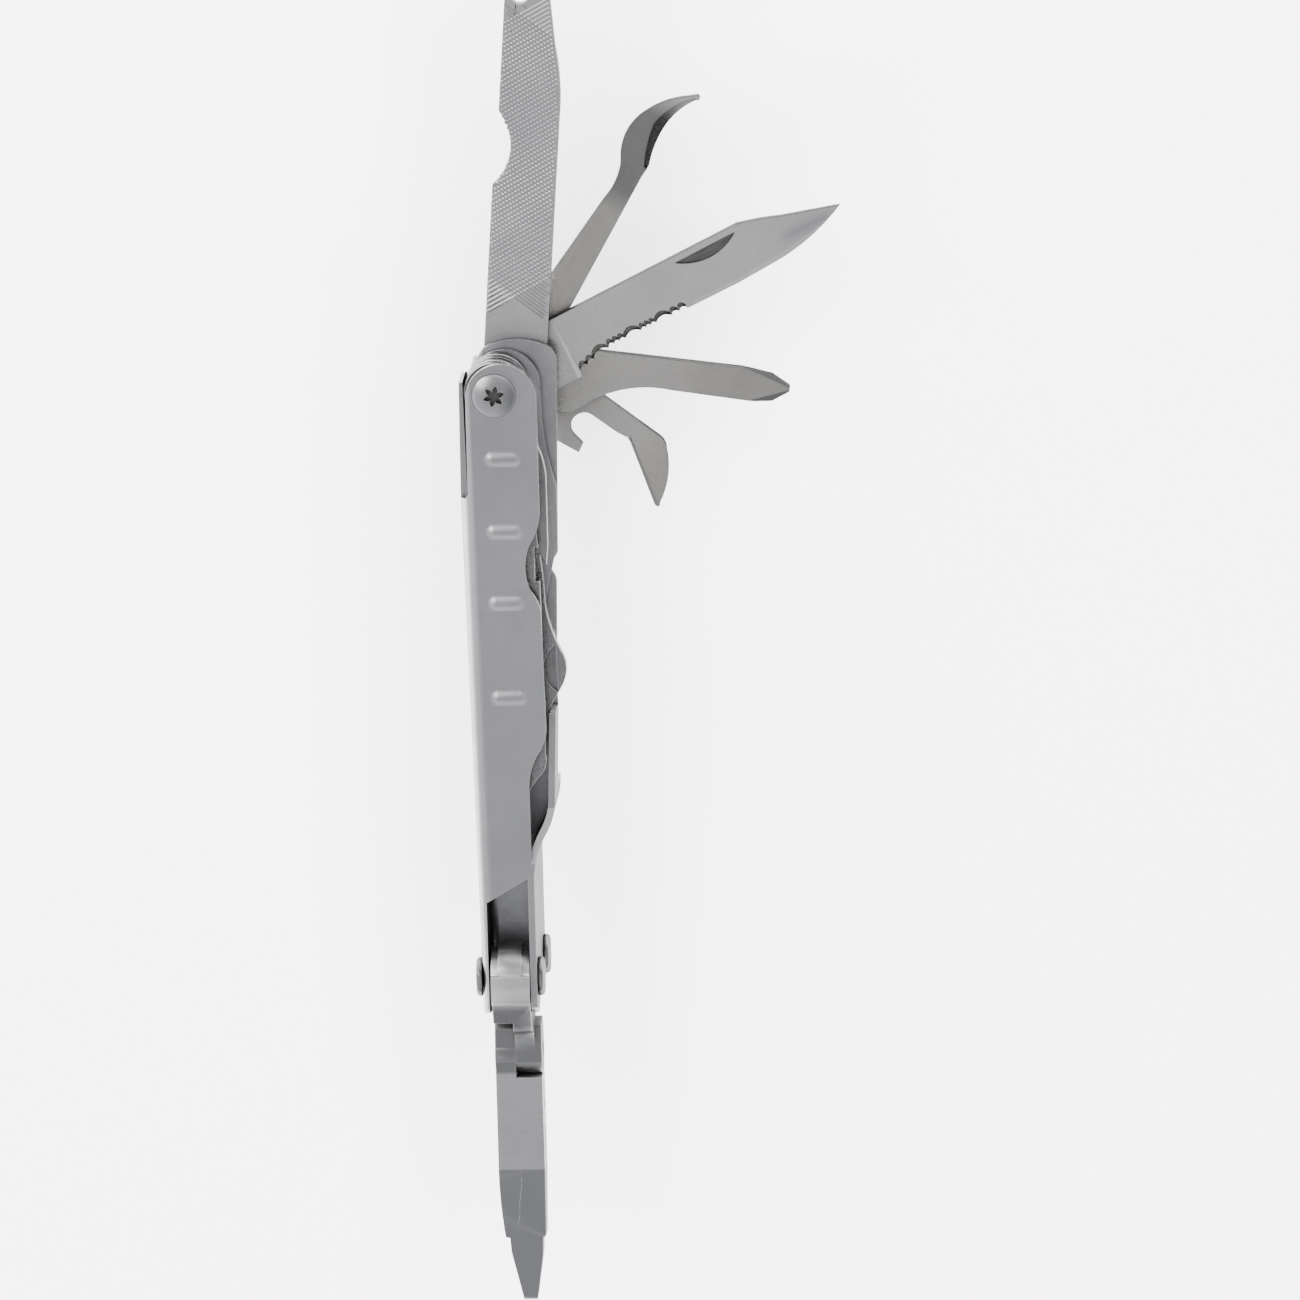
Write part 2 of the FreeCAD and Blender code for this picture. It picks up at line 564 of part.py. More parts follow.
def saw_shape(thick):
    """A long saw with a textured flank, a nail slot in its back and a rounded end."""
    face = outline((0, 4.7), (22.0, 5.8), (24.3, 6.0), (24.3, 5.4), (29.6, 5.4), (29.6, 6.1),
                   (36.0, 6.2), (57.0, 6.3), ((59.6, 5.9), (60.6, 5.0)), (62.9, 3.4),
                   ((63.6, 0.6), (62.0, -2.4)), (10.0, -2.9), (0, -4.7), ((-4.7, 0), (0, 4.7)))
    body = slab(face, 0, thick)
    pitch, deep = 2.0, 1.1
    for i in range(24):
        x = 12.0 + i * pitch
        notch = outline((x, -3.4), (x + pitch * 0.85, -3.4), (x + pitch * 0.6, -2.9 + deep))
        body = body.cut(slab(notch, -1, thick + 1))
    return body


def small_driver_shape(thick):
    """A short flat screwdriver with a slanted shoulder."""
    face = outline((0, 4.7), (9.0, 6.3), ((12.0, 7.2), (15.0, 7.4)), (24.5, 7.4), (27.6, 7.1),
                   (25.6, 5.9), (26.0, 1.2), (10.0, -2.4), (0, -4.7), ((-4.7, 0), (0, 4.7)))
    return slab(face, 0, thick)


def pen_blade_shape(thick):
    """A small blade whose humped back carries a nail nick."""
    face = outline((0, 4.7), (20.0, 5.4), (31.5, 6.5), ((38.0, 7.4), (41.5, 8.8)),
                   ((44.4, 9.6), (47.2, 8.8)), (52.1, 6.0), ((44.0, 0.2), (34.0, -2.3)),
                   (9.0, -2.9), (0, -4.7), ((-4.7, 0), (0, 4.7)))
    blade = slab(face, 0, thick)
    nick = outline((40.6, 8.0), (48.0, 8.2), ((44.6, 6.1), (40.6, 8.0)))
    return blade.cut(slab(nick, thick - 0.5, thick + 1))


def large_driver_shape(thick):
    """A flat screwdriver with a tapered end."""
    face = outline((0, 4.7), (8.0, 5.4), (38.0, 5.2), (44.0, 4.6), (49.5, 4.4), (49.5, -1.8),
                   (44.0, -2.0), (38.0, -2.6), (8.0, -2.8), (0, -4.7), ((-4.7, 0), (0, 4.7)))
    body = slab(face, 0, thick)
    for surface, inward in ((thick, -1), (0, 1)):
        wedge = outline((38.0, surface), (50.0, surface), (50.0, surface + inward * thick * 0.28))
        wedge.rotate(V(0, 0, 0), V(1, 0, 0), 90)
        wedge.translate(V(0, 9, 0))
        body = body.cut(wedge.extrude(V(0, -18, 0)))
    return body


def pointed(shape, low, pivot_x, angle):
    """A flat tool, drilled, laid at its height and turned about its pivot."""
    drilled = shape.cut(along_z(POST_RADIUS + TURNING_FIT, -1, 5, 0, 0))
    drilled.rotate(V(0, 0, 0), V(0, 0, 1), angle)
    drilled.translate(V(pivot_x, LINK, low))
    return drilled


def stack(thicks):
    """Heights of the tools and of the gaps between them, from the inner wall outwards."""
    gap = (INNER_DEPTH - sum(thicks)) / (len(thicks) + 1)
    tools, gaps = [], []
    z = HALF_GAP + SHEET
    for thick in thicks:
        gaps.append((z, z + gap))
        tools.append(z + gap)
        z += gap + thick
    gaps.append((z, z + gap))
    return tools, gaps


# --- the whole tool ------------------------------------------------------------------------
def front_pieces():
    thicks = (FRONT_TOOL_THICK,) * 4
    levels, gaps = stack(thicks)
    shapes = (large_driver_shape, pen_blade_shape, small_driver_shape, saw_shape)
    names = ("large_screwdriver", "pen_blade", "small_screwdriver", "saw_blade")
    pieces = {
        "front_handle": handle(front_inner_outline(), FRONT_PIVOT_X, RAIL_TOP, 0.0),
        "front_tool_post": post(FRONT_PIVOT_X),
        "front_tool_screw": screw(FRONT_PIVOT_X),
        "front_tool_washers": washer_stack(gaps, FRONT_PIVOT_X),
        "front_handle_rivet": rivet(),
        "rear_jaw": jaw(1),
        "jaw_pivot_pin": joint_pin(),
    }
    for name, draw, low, thick in zip(names, shapes, levels, thicks):
        pieces[name] = pointed(draw(thick), low, FRONT_PIVOT_X, FRONT_REST)
    return pieces


def back_pieces():
    levels, gaps = stack(BACK_TOOL_THICKS)
    pieces = {
        "back_handle": to_back(handle(back_inner_outline(), BACK_PIVOT_X, 28.5, BACK_LEAN)),
        "back_tool_post": to_back(post(BACK_PIVOT_X)),
        "back_tool_screw": to_back(screw(BACK_PIVOT_X)),
        "back_tool_washers": to_back(washer_stack(gaps, BACK_PIVOT_X)),
        "back_handle_rivet": to_back(rivet()),
        "front_jaw": jaw(-1),
    }
    tools = (
        ("file", file_shape, FILE_REST), ("serrated_knife", knife_shape, KNIFE_REST),
        ("hook_tool", hook_shape, HOOK_REST), ("phillips_screwdriver", phillips_shape, PHILLIPS_REST),
        ("can_opener", opener_shape, OPENER_REST))
    for (name, draw, angle), level, thick in zip(tools, levels, BACK_TOOL_THICKS):
        pieces[name] = pointed(draw(thick), -level - thick, BACK_PIVOT_X, angle)
    return pieces


def main():
    os.makedirs("parts", exist_ok=True)
    pieces = front_pieces()
    pieces.update(back_pieces())
    for name, shape in pieces.items():
        shape = to_row(shape)
        shape.exportStep(f"parts/{name}.step")
        print(name, len(shape.Solids), shape.isValid(), round(shape.Volume, 1))


main()
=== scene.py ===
import math

import bmesh
import bpy
from mathutils import Matrix, Vector


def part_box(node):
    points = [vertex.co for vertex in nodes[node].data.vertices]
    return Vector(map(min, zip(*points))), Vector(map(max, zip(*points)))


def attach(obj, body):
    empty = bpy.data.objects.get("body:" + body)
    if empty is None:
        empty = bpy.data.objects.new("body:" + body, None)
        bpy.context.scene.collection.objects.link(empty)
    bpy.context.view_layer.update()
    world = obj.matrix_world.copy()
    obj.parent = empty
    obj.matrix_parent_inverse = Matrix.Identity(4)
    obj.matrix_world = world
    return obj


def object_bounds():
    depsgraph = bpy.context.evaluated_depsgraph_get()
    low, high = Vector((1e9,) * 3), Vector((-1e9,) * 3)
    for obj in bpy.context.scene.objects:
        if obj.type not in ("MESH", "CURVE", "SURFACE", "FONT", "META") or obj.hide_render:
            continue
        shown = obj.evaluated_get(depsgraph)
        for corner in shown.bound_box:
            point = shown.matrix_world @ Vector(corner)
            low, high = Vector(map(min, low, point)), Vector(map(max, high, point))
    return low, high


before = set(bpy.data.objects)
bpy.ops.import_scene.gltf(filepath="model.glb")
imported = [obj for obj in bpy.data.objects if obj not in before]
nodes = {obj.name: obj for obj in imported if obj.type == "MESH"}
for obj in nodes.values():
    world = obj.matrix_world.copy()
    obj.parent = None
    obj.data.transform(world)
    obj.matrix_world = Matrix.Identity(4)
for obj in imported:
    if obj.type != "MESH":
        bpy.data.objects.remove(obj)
cad_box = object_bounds()

MM = 0.001
LINK = 92.3     # row Y of the hinges is -LINK
MID_Z = 11.15   # row Z of the plane between the handles
FLOOR_DROP = 0.024   # metres from the tool down to the floor, clear of a folded handle or open jaw


# --- camera and light ----------------------------------------------------------------------
def camera():
    """A long lens above the tool, leaning a little towards the tools' end."""
    tilt, yaw, roll = math.radians(13.0), math.radians(3.5), math.radians(1.56)
    right = Vector((math.cos(yaw), 0, -math.sin(yaw)))
    back = Vector((math.sin(yaw) * math.cos(tilt), math.sin(tilt), math.cos(yaw) * math.cos(tilt)))
    up = back.cross(right)
    target = right * 22.13 + up * 47.84 + Vector((0, -LINK, MID_Z))
    spin_right = right * math.cos(roll) - up * math.sin(roll)
    spin_up = up * math.cos(roll) + right * math.sin(roll)
    distance, seen_width, sensor = 6000.0, 200.0, 36.0
    data = bpy.data.cameras.new("camera")
    data.sensor_width = sensor
    data.lens = sensor * distance / seen_width
    data.clip_start, data.clip_end = 0.5, 40
    eye = bpy.data.objects.new("camera", data)
    turn = Matrix((spin_right, spin_up, back)).transposed()
    eye.matrix_world = Matrix.Translation((target + back * distance) * MM) @ turn.to_4x4()
    bpy.context.scene.collection.objects.link(eye)
    bpy.context.scene.camera = eye


def area_light(name, place, aim, size, power, shiny=True):
    data = bpy.data.lights.new(name, "AREA")
    data.shape = "RECTANGLE"
    data.size, data.size_y = size
    data.energy = power
    lamp = bpy.data.objects.new(name, data)
    lamp.location = place
    lamp.rotation_euler = (Vector(aim) - Vector(place)).to_track_quat("-Z", "Y").to_euler()
    lamp.visible_glossy = shiny
    bpy.context.scene.collection.objects.link(lamp)


def studio():
    """A white tent: bright all round near the horizon, greyer overhead, over a white floor."""
    world = bpy.data.worlds.new("studio")
    bpy.context.scene.world = world
    world.use_nodes = True
    tree = world.node_tree
    place = tree.nodes.new("ShaderNodeTexCoord")
    split = tree.nodes.new("ShaderNodeSeparateXYZ")
    band = tree.nodes.new("ShaderNodeMapRange")
    band.interpolation_type = "SMOOTHSTEP"
    for key, value in (("From Min", 0.45), ("From Max", 0.97), ("To Min", 1.3), ("To Max", 0.6)):
        band.inputs[key].default_value = value
    tree.links.new(place.outputs["Generated"], split.inputs["Vector"])
    tree.links.new(split.outputs["Z"], band.inputs["Value"])
    sky = tree.nodes["Background"]
    sky.inputs["Color"].default_value = (0.97, 0.98, 1.0, 1)
    tree.links.new(band.outputs["Result"], sky.inputs["Strength"])
    area_light("key", (-0.5, 0.35, 0.55), (0, 0, 0), (0.4, 0.6), 3.5)
    area_light("back", (0.15, 0.8, 0.3), (0, 0, 0), (0.8, 0.25), 3.0)
    area_light("tent", (0.0, 0.0, 1.6), (0, 0, 0), (2.0, 2.0), 230, shiny=False)
    mesh = bpy.data.meshes.new("floor")
    half = 3.0
    corners = [(-half, -half, 0), (half, -half, 0), (half, half, 0), (-half, half, 0)]
    mesh.from_pydata(corners, [], [(0, 1, 2, 3)])
    floor = bpy.data.objects.new("floor", mesh)
    floor.location.z = cad_box[0][2] - FLOOR_DROP
    bpy.context.scene.collection.objects.link(floor)
    pale = bpy.data.materials.new("floor_pale")
    pale.use_nodes = True
    surface = pale.node_tree.nodes["Principled BSDF"]
    surface.inputs["Base Color"].default_value = (0.95, 0.95, 0.95, 1)
    surface.inputs["Roughness"].default_value = 1.0
    surface.inputs["Specular IOR Level"].default_value = 0.1
    floor.data.materials.append(pale)


camera()
studio()


# --- materials -------------------------------------------------------------------------------
class Graph:
    """A small helper that adds nodes to one material and links them."""

    def __init__(self, name):
        self.material = bpy.data.materials.new(name)
        self.material.use_nodes = True
        self.tree = self.material.node_tree
        self.surface = self.tree.nodes["Principled BSDF"]

    def add(self, kind, values=None, **settings):
        node = self.tree.nodes.new(kind)
        for key, value in settings.items():
            setattr(node, key, value)
        for key, value in (values or {}).items():
            if isinstance(value, bpy.types.NodeSocket):
                self.tree.links.new(value, node.inputs[key])
            else:
                node.inputs[key].default_value = value
        return node

    def place(self):
        """Where a point is on the piece, in the row frame and at rest."""
        return self.add("ShaderNodeTexCoord").outputs["Object"]

    def local(self, turn, centre=(0, 0, 0)):
        """The place seen from a tool's own frame: X along the tool, Y over its back, in metres."""
        moved = self.add("ShaderNodeVectorMath", {
            0: self.place(), 1: centre}, operation="SUBTRACT").outputs["Vector"]
        return self.add("ShaderNodeVectorRotate", {
            "Vector": moved, "Angle": -turn}, rotation_type="Z_AXIS").outputs["Vector"]

    def noise(self, scale, detail=2.0, rough=0.5, stretch=(1, 1, 1), turn=0.0):
        spot = self.add("ShaderNodeVectorMath", {
            0: self.local(turn), 1: stretch}, operation="MULTIPLY").outputs["Vector"]
        return self.add("ShaderNodeTexNoise", {
            "Vector": spot, "Scale": scale, "Detail": detail, "Roughness": rough}).outputs["Fac"]

    def between(self, value, low, high, soft):
        """1 where the value is between low and high, with soft edges."""
        up = self.ramp(value, low - soft, low + soft)
        down = self.ramp(value, high - soft, high + soft, 1.0, 0.0)
        return self.math("MULTIPLY", up, down)

    def all_of(self, *masks):
        whole = masks[0]
        for mask in masks[1:]:
            whole = self.math("MULTIPLY", whole, mask)
        return whole

    def split(self, vector):
        return self.add("ShaderNodeSeparateXYZ", {"Vector": vector}).outputs

    def steepness(self, level=0.97, steep=0.6):
        """0 on faces that look straight up or down, 1 on upright ones."""
        shape = self.add("ShaderNodeNewGeometry")
        z = self.split(shape.outputs["Normal"])["Z"]
        return self.ramp(self.math("ABSOLUTE", z), level, steep)

    def ramp(self, fac, low, high, out_low=0.0, out_high=1.0):
        return self.add("ShaderNodeMapRange", {
            "Value": fac, "From Min": low, "From Max": high, "To Min": out_low,
            "To Max": out_high}).outputs["Result"]

    def math(self, kind, a, b=0.0):
        return self.add("ShaderNodeMath", {0: a, 1: b}, operation=kind).outputs["Value"]

    def mix(self, fac, a, b):
        node = self.add("ShaderNodeMix", {"Factor": fac}, data_type="RGBA")
        for index, value in ((6, a), (7, b)):
            if isinstance(value, bpy.types.NodeSocket):
                self.tree.links.new(value, node.inputs[index])
            else:
                node.inputs[index].default_value = (*value, 1)
        return node.outputs[2]

    def edges(self, width):
        """1 on edges, fading to 0 at about the given distance from them."""
        rounded = self.add("ShaderNodeBevel", {"Radius": width}, samples=6)
        shape = self.add("ShaderNodeNewGeometry")
        facing = self.add("ShaderNodeVectorMath", {
            0: rounded.outputs["Normal"], 1: shape.outputs["Normal"]}, operation="DOT_PRODUCT")
        return self.ramp(facing.outputs["Value"], 0.995, 0.8)

    def bump(self, heights, strength, distance):
        node = self.add("ShaderNodeBump", {
            "Height": heights, "Strength": strength, "Distance": distance})
        self.tree.links.new(node.outputs["Normal"], self.surface.inputs["Normal"])

    def set(self, name, value):
        if isinstance(value, bpy.types.NodeSocket):
            self.tree.links.new(value, self.surface.inputs[name])
        else:
            self.surface.inputs[name].default_value = value


def steel(name, dark, light, rough, grain_turn=None, grain=0.25, dimple=0.0, painted_edge=0.5,
          edge=0.0003, shade_reach=0.0015, darker=None, deep=0.35, wall_shade=0.0, grazing=0.35, painted_edge_tone=0.86):
    """Stainless steel: brushed along grain_turn, or bead-blasted where grain_turn is None.

    Dark and light are the two tones of its patches. wear is how strongly the edges, out to
    the distance edge, are painted in the grey painted_edge_tone: a painted highlight where that tone is
    pale, a painted shade line where it is dark. Corners nearer than grime get painted shade, less
    so as deep rises. walls is how strongly painted shade darkens the sheared, upright sides against
    the ground faces, and grazing dims what is seen at a flat angle. darker(graph) may return a
    list of (mask, colour) for areas with a tone of their own or with painted light and shade."""
    g = Graph(name)
    patches = g.noise(60.0, 4.0, 0.6)
    smudges = g.noise(220.0, 3.0, 0.6)
    if grain_turn is None:
        streaks = g.noise(2600.0, 2.0)
    else:
        streaks = g.noise(3200.0, 4.0, 0.7, (0.03, 1.0, 1.0), grain_turn)
    colour = g.mix(g.ramp(patches, 0.32, 0.68), dark, light)
    colour = g.mix(g.ramp(smudges, 0.5, 0.75, 0.0, 0.35), colour, tuple(c * 0.82 for c in dark))
    colour = g.mix(g.ramp(streaks, 0.4, 0.8, 0.0, grain), colour, tuple(c * 0.55 for c in dark))
    for mask, tone in (darker(g) if darker else []):
        colour = g.mix(mask, colour, tone)
    # Edges get a painted highlight where the rim tone is pale and a painted shade line where it is dark;
    # they are also a little glossier
    rim = g.edges(edge)
    shown = g.math("MULTIPLY", rim, painted_edge)
    # Upright sides get painted shade, and no painted edge
    if wall_shade:
        side = g.steepness()
        colour = g.mix(g.math("MULTIPLY", side, wall_shade), colour, (0.035, 0.034, 0.033))
        shown = g.math("MULTIPLY", shown, g.math("SUBTRACT", 1.0, side))
    colour = g.mix(shown, colour, (painted_edge_tone, painted_edge_tone, painted_edge_tone))
    # Painted shade in corners, creases and recesses, from the ambient occlusion near each point
    hidden = g.add("ShaderNodeAmbientOcclusion", {"Distance": shade_reach}, samples=6).outputs["AO"]
    colour = g.mix(g.ramp(hidden, 0.25, 0.9, 1.0 - deep, 0.0), colour, tuple(c * 0.12 for c in dark))
    g.set("Base Color", colour)
    g.set("Metallic", 1.0)
    g.set("Specular Tint", (grazing, grazing, grazing, 1))
    worn = g.math("MULTIPLY", rim, -0.12)
    uneven = g.ramp(smudges, 0.3, 0.7, rough - 0.03, rough + 0.05)
    g.set("Roughness", g.math("ADD", worn, g.math("ADD", g.ramp(streaks, 0.3, 0.7, -0.04, 0.05), uneven)))
    g.bump(streaks, 0.15 + dimple, 0.00002)
    return g.material


def dress(node, material, bevel_width=0.00012):
    """Give a CAD node its material, and small real bevels on its sharp edges."""
    piece = nodes[node]
    piece.data.materials.clear()
    piece.data.materials.append(material)
    weld = piece.modifiers.new("weld", "WELD")
    weld.merge_threshold = 0.000002
    bevel = piece.modifiers.new("bevel", "BEVEL")
    bevel.width = bevel_width
    bevel.segments = 2
    bevel.limit_method = "ANGLE"
    bevel.angle_limit = math.radians(40)
    bevel.harden_normals = True


# the back tools' pivot, and the angle at which each tool stands at rest, in degrees
BACK_PIVOT = (0.0023, 0.0, 0.0)
TURNS = {
    "file": 85.6, "hook_tool": 60.0, "serrated_knife": 27.0, "phillips_screwdriver": -8.0,
    "can_opener": -40.0, "saw_blade": -90.0, "pen_blade": -90.0, "small_screwdriver": -90.0,
    "large_screwdriver": -90.0,
}


def top_of(node):
    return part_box(node)[1].z


def flat(g):
    """1 on faces that look up or down."""
    return g.math("SUBTRACT", 1.0, g.steepness())


def knife_areas(g):
    """A warm gradient near the handle as a painted reflection, painted highlights on the plunge line and
    the edge bevel, a bluish smudge, and painted shade in the serrated hollows and the nick.
    """
    turn = math.radians(TURNS["serrated_knife"])
    along, over, _ = g.split(g.local(turn, BACK_PIVOT))
    height = g.split(g.place())["Z"]
    top = top_of("serrated_knife")
    tang = g.ramp(along, 0.0092, 0.0086)
    # A warm gradient near the handle: a painted reflection
    near = g.ramp(along, 0.0240, 0.0100, 0.0, 0.45)
    # The plunge line and the edge bevel get painted highlights
    plunge = g.all_of(g.between(along, 0.0085, 0.0092, 0.0001), g.ramp(over, 0.0050, 0.0046))
    bevel = g.all_of(g.ramp(along, 0.0290, 0.0300), g.ramp(over, -0.0026, -0.0029))
    belly = g.math("SUBTRACT", over, g.math("MULTIPLY", 8.0, g.math(
        "POWER", g.math("MAXIMUM", g.math("SUBTRACT", along, 0.0400), 0.0), 2.0)))
    curved = g.all_of(g.ramp(along, 0.0395, 0.0400), g.ramp(belly, -0.0024, -0.0027))
    bevel = g.math("MAXIMUM", bevel, curved)
    smudge = g.all_of(g.between(along, 0.0470, 0.0550, 0.0012), g.between(over, -0.0012, 0.0003, 0.0007))
    # Painted shade on the serrations' steep sides, and in the nail nick
    serrated = g.all_of(g.between(along, 0.0092, 0.0286, 0.0002), g.ramp(over, -0.0012, -0.0016),
                        g.steepness(0.99, 0.96))
    nick = g.all_of(g.between(along, 0.0298, 0.0408, 0.0001), g.between(over, 0.002, 0.0042, 0.0001),
                    g.ramp(height, top - 0.0002, top - 0.0003))
    sheen = g.ramp(g.noise(1400.0, 3.0, 0.6, (0.1, 1, 1), turn), 0.3, 0.7, 0.75, 1.0)
    return [(tang, (0.62, 0.62, 0.63)), (near, (0.76, 0.73, 0.70)),
            (g.math("MULTIPLY", smudge, 0.6), (0.40, 0.41, 0.47)),
            (g.math("MULTIPLY", bevel, 0.8), (0.92, 0.91, 0.90)),
            (g.math("MULTIPLY", plunge, 0.55), (0.8, 0.8, 0.8)),
            (serrated, (0.045, 0.043, 0.04)),
            (g.math("MULTIPLY", nick, sheen), (0.12, 0.115, 0.115))]


def hook_areas(g):
    """The bent part gets painted shade against the shank, the tip a painted highlight, and the hollow
    nearly black painted shade.
    """
    along = g.split(g.local(math.radians(TURNS["hook_tool"]), BACK_PIVOT))["X"]
    height = g.split(g.place())["Z"]
    top = top_of("hook_tool")
    # Painted shade in the hollow's flank and on the bent part, and a painted highlight on the tip
    flank = g.all_of(g.ramp(height, top - 0.0003, top - 0.0005), g.ramp(along, 0.0370, 0.0375),
                     g.ramp(along, 0.0510, 0.0480))
    shine = g.ramp(along, 0.0460, 0.0505)
    bent = g.ramp(along, 0.0290, 0.0330, 0.0, 0.9)
    mottled = g.ramp(g.noise(2600.0, 3.0, 0.7), 0.35, 0.7, 0.6, 1.0)
    return [(bent, (0.25, 0.25, 0.255)), (g.math("MULTIPLY", flank, mottled), (0.04, 0.04, 0.04)),
            (shine, (0.75, 0.74, 0.73))]


def nose_areas(g):
    """The head is a shade darker and the neck dark, both painted shade, and a painted highlight makes
    a pale band round the ring's front.

    Below the shoulder the ground faces get painted shade too, with a faint scratch down the middle."""
    x, y, z = g.split(g.place())
    # Painted shade below the shoulder, on the ring and on the neck, and a painted highlight on the band
    below = g.ramp(y, -0.12385, -0.12410)
    ring = g.ramp(y, -0.1090, -0.1084, 0.0, 0.95)
    band = g.all_of(g.between(y, -0.0946, -0.0904, 0.0008), g.ramp(z, MID_Z * MM, MID_Z * MM + 0.001))
    neck = g.between(y, -0.1008, -0.0964, 0.0008)
    wander = g.ramp(g.noise(120.0, 2.0, 0.5), 0.0, 1.0, -0.0012, 0.0012)
    bent = g.math("ADD", g.math("SUBTRACT", x, g.math("MULTIPLY", 0.12, g.math("ADD", y, 0.1280))), wander)
    line = g.all_of(g.between(bent, 0.00005, 0.00017, 0.00006), g.between(y, -0.1335, -0.1242, 0.0006),
                    g.ramp(g.noise(900.0, 2.0), 0.35, 0.5))
    return [(ring, (0.25, 0.25, 0.255)), (neck, (0.10, 0.10, 0.105)), (band, (0.68, 0.68, 0.69)),
            (g.math("MULTIPLY", below, 0.9), (0.25, 0.25, 0.265)),
            (g.math("MULTIPLY", line, 0.55), (0.75, 0.75, 0.75))]


def opener_areas(g):
    """Painted shade near the handle, a warm painted reflection halfway, and painted shade on the
    cutter's upright ground bevel.
    """
    along = g.split(g.local(math.radians(TURNS["can_opener"]), BACK_PIVOT))["X"]
    # Painted shade on the cutter's upright bevel and near the handle, and a warm painted reflection
    # halfway
    bevel = g.all_of(g.steepness(), g.ramp(along, 0.0200, 0.0206))
    warm = g.all_of(g.between(along, 0.0130, 0.0240, 0.0030), flat(g))
    near = g.ramp(along, 0.0200, 0.0120, 0.0, 0.4)
    return [(near, (0.42, 0.41, 0.40)), (g.math("MULTIPLY", warm, 0.5), (0.74, 0.72, 0.70)),
            (bevel, (0.04, 0.04, 0.04))]


def driver_areas(g):
    """A soft pale patch halfway as a painted highlight, then painted shade on the facets at the cross
    point.
    """
    along = g.split(g.local(math.radians(TURNS["phillips_screwdriver"]), BACK_PIVOT))["X"]
    # A painted highlight halfway, and painted shade on the upright facets at the tip
    glow = g.all_of(g.between(along, 0.0110, 0.0250, 0.0035), flat(g))
    facets = g.all_of(g.ramp(along, 0.0345, 0.0355), g.steepness(0.995, 0.95))
    return [(g.math("MULTIPLY", glow, 0.5), (0.70, 0.68, 0.66)), (facets, (0.08, 0.08, 0.08))]


def saw_areas(g):
    """Rows of small dark dimples on the saw's flank."""
    spots = g.add("ShaderNodeTexVoronoi", {"Vector": g.place(), "Scale": 2200.0}).outputs["Distance"]
    return [(g.ramp(spots, 0.4, 0.2, 0.0, 0.6), (0.1, 0.1, 0.1))]


def handle_areas(g):
    """The sides that the tools fold out of, which face right, get painted shade against the pressed
    faces.
    """
    shape = g.add("ShaderNodeNewGeometry")
    right = g.split(shape.outputs["Normal"])["X"]
    # Faces that look right get painted shade
    return [(g.ramp(right, 0.3, 0.75, 0.0, 0.85), (0.17, 0.17, 0.175))]


def rivet_areas(g):
    """The upright rims of the heads get painted shade."""
    return [(g.steepness(0.99, 0.9), (0.17, 0.17, 0.17))]


def screw_areas(g):
    """The dome has painted shade on its right, and the star socket has painted shade inside."""
    x, y, z = g.split(g.place())
    reach = g.math("SQRT", g.math("ADD", g.math("MULTIPLY", x, x), g.math("MULTIPLY", y, y)))
    sunk = g.ramp(z, top_of("front_tool_screw") - 0.0003, top_of("front_tool_screw") - 0.0005)
    shade = g.ramp(g.math("SUBTRACT", x, g.math("MULTIPLY", y, 0.3)), 0.0010, 0.0030, 0.0, 0.85)
    return [(shade, (0.13, 0.13, 0.135)),
            (g.all_of(g.ramp(reach, 0.0017, 0.0016), sunk), (0.16, 0.16, 0.16))]


GREY = ((0.47, 0.47, 0.485), (0.54, 0.54, 0.555))
WARM = ((0.47, 0.455, 0.43), (0.60, 0.58, 0.555))
PALE = ((0.74, 0.73, 0.72), (0.88, 0.87, 0.86))
# DIM: the steel darkened with painted shade, for the tools that lie inside a handle
DIM = ((0.30, 0.30, 0.305), (0.38, 0.38, 0.385))


def made_of(node):
    turn = math.radians(TURNS.get(node, 0.0))
    if node in ("front_handle", "back_handle"):
        return steel(node, *GREY, 0.37, None, 0.12, 0.1, 0.9, 0.0003, 0.0008, handle_areas)
    if node in ("front_jaw", "rear_jaw"):
        return steel(node, (0.52, 0.52, 0.535), (0.6, 0.6, 0.615), 0.40, 0.0, 0.3, dimple=0.1,
                     shade_reach=0.0008, deep=0.6, darker=nose_areas)
    if node == "serrated_knife":
        return steel(node, *PALE, 0.26, turn, 0.25, darker=knife_areas, wall_shade=0.9, painted_edge=0.9,
                     painted_edge_tone=0.16)
    if node == "pen_blade":
        return steel(node, *DIM, 0.25, turn, 0.2, painted_edge=0.95)
    if node == "hook_tool":
        return steel(node, *WARM, 0.30, turn, 0.25, darker=hook_areas, wall_shade=0.9, painted_edge=0.8,
                     painted_edge_tone=0.2)
    if node == "can_opener":
        return steel(node, *WARM, 0.3, turn, 0.25, darker=opener_areas, wall_shade=0.9, painted_edge=0.8,
                     painted_edge_tone=0.16)
    if node == "phillips_screwdriver":
        return steel(node, *WARM, 0.28, turn, 0.25, darker=driver_areas, wall_shade=0.9, painted_edge=0.8,
                     painted_edge_tone=0.16)
    if node == "saw_blade":
        return steel(node, *DIM, 0.3, turn, 0.3, painted_edge=0.95, darker=saw_areas)
    if node in ("small_screwdriver", "large_screwdriver"):
        return steel(node, *DIM, 0.3, turn, 0.3, 0.0, 0.95)
    if node in TURNS:
        return steel(node, (0.62, 0.62, 0.625), (0.74, 0.74, 0.745), 0.32, turn, 0.25, wall_shade=0.7)
    # The screw and the rivets get areas of painted shade
    shade_areas = {"front_tool_screw": screw_areas, "rivets": rivet_areas}.get(node)
    return steel(node, (0.40, 0.40, 0.41), (0.48, 0.48, 0.49), 0.3, None, 0.12, deep=0.2, darker=shade_areas)


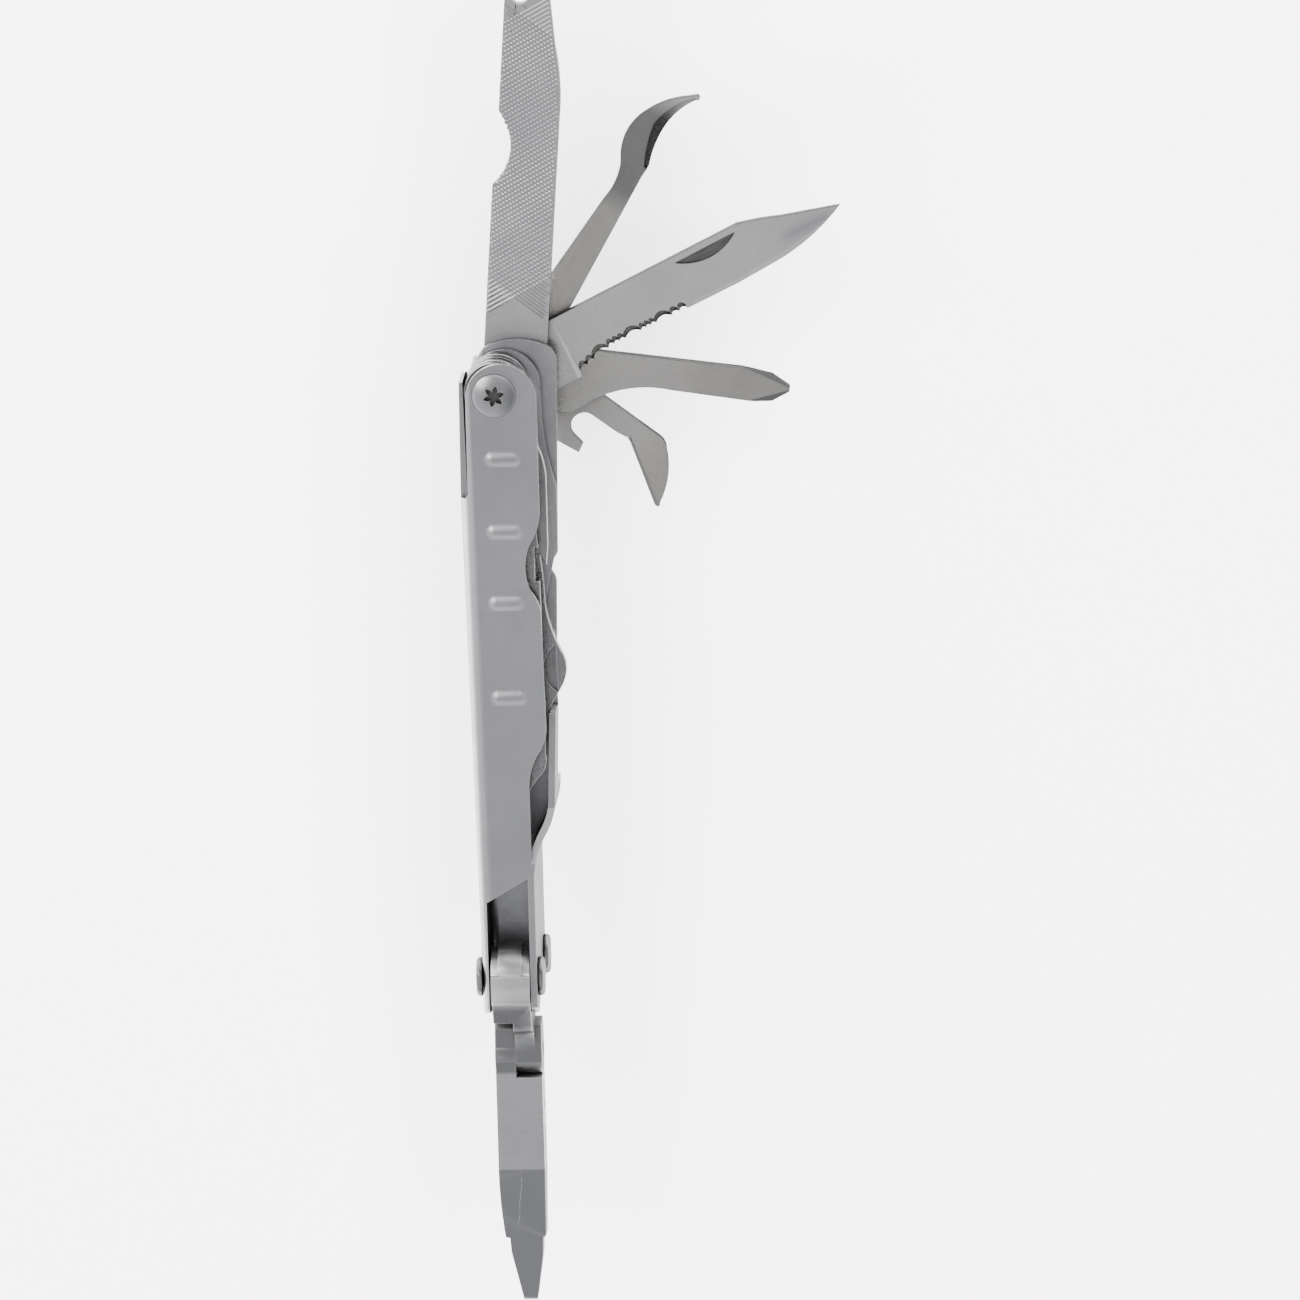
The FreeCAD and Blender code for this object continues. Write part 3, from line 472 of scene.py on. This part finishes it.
shared = {}
for node in nodes:
    kind = node
    if node.split("_")[-1] in ("post", "washers", "pin") or node == "back_tool_screw":
        kind = "pivots"
    elif "rivet" in node:
        kind = "rivets"
    if kind not in shared:
        shared[kind] = made_of(kind)
    dress(node, shared[kind], 0.0001 if kind in ("serrated_knife", "file", "saw_blade") else 0.00014)


# --- file teeth ------------------------------------------------------------------------------
def file_edge(u):
    """Where the file's two long edges are, from its pivot's line, at a distance u along it.

    The back has a round notch, and the belly curves in towards the tip. All in millimetres."""
    back = 4.8
    if 29.9 < u < 41.6:
        back = 4.35 - 2.05 * math.cos((u - 35.75) / 5.85 * math.pi / 2)
    elif u >= 41.6:
        back = 4.4
    belly = -4.9
    if u > 41.0:
        belly = -5.0 + 1.2 * ((u - 41.0) / 11.1) ** 1.5
    if u > 52.1:
        belly = -3.8 + (u - 52.1) * 0.16
    return belly + 0.12, back - 0.12


def one_cut(cut, other, tall, verts, faces):
    """One cut of teeth: ridges at an angle to the file, notched where the other cut crosses them.

    A cut is (lean, first, last, pitch): it covers the file between two of its own lines."""
    lean, first, last, pitch = cut
    row = (math.cos(lean), math.sin(lean))
    across = (-row[1], row[0])
    crossing = (-math.sin(other[0]), math.cos(other[0]))
    step = other[3] / abs(row[0] * crossing[0] + row[1] * crossing[1]) / 4
    for i in range(int(first / pitch), int(last / pitch) + 1):
        inside = []
        for k in range(-int(60 / step), int(60 / step)):
            w = i * pitch * across[0] + k * step * row[0]
            u = i * pitch * across[1] + k * step * row[1]
            if not 9.0 < u < 59.3 or (u > 58.1 and 0.6 < w < 3.7):
                continue
            low, high = file_edge(u)
            if low < w < high:
                inside.append((u, w, u * crossing[1] + w * crossing[0]))
        if len(inside) < 3:
            continue
        at = len(verts)
        for n, (u, w, level) in enumerate(inside):
            height = tall
            if other[1] < level < other[2]:
                height *= 0.56 - 0.44 * math.cos(2 * math.pi * level / other[3])
            if n in (0, len(inside) - 1):
                height = 0.01
            for side, z in ((-0.46, -0.02), (0.14, height), (0.46, -0.02)):
                verts.append((u + side * pitch * across[1], w + side * pitch * across[0], z))
        count = len(inside)
        for n in range(count - 1):
            p, q = at + 3 * n, at + 3 * n + 3
            for a, b in ((0, 1), (1, 2), (2, 0)):
                faces.append((p + a, p + b, q + b, q + a))
        faces.append((at + 2, at + 1, at))
        faces.append((at + 3 * count - 3, at + 3 * count - 2, at + 3 * count - 1))


def teeth(name, face_z, up, pitch, tall):
    """A double-cut face. Each cut stops on its own slant line at both ends of the file."""
    verts, faces = [], []
    main = (math.radians(-33), 11.4, 48.7, pitch)
    fine = (math.radians(33), 10.4, 46.9, pitch * 0.8)
    one_cut(main, fine, tall, verts, faces)
    one_cut(fine, (main[0], 0, 0, 3.0), tall * 0.3, verts, faces)
    turn = math.radians(TURNS["file"])
    c, s = math.cos(turn), math.sin(turn)
    placed = [(BACK_PIVOT[0] + (u * c - w * s) * MM, (u * s + w * c) * MM, face_z + up * z * MM)
              for u, w, z in verts]
    mesh = bpy.data.meshes.new(name)
    mesh.from_pydata(placed, [], faces)
    mesh.validate()
    tool = bmesh.new()
    tool.from_mesh(mesh)
    bmesh.ops.recalc_face_normals(tool, faces=tool.faces)
    tool.to_mesh(mesh)
    tool.free()
    piece = bpy.data.objects.new(name, mesh)
    bpy.context.scene.collection.objects.link(piece)
    piece.data.materials.append(file_cut)
    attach(piece, "file")


file_cut = steel("file_cut", (0.42, 0.42, 0.43), (0.5, 0.5, 0.51), 0.38, None, 0.15, 0.0, 0.0)
file_low, file_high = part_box("file")
teeth("file_teeth_front", file_high.z, 1, 0.64, 0.11)
teeth("file_teeth_rear", file_low.z, -1, 0.9, 0.14)
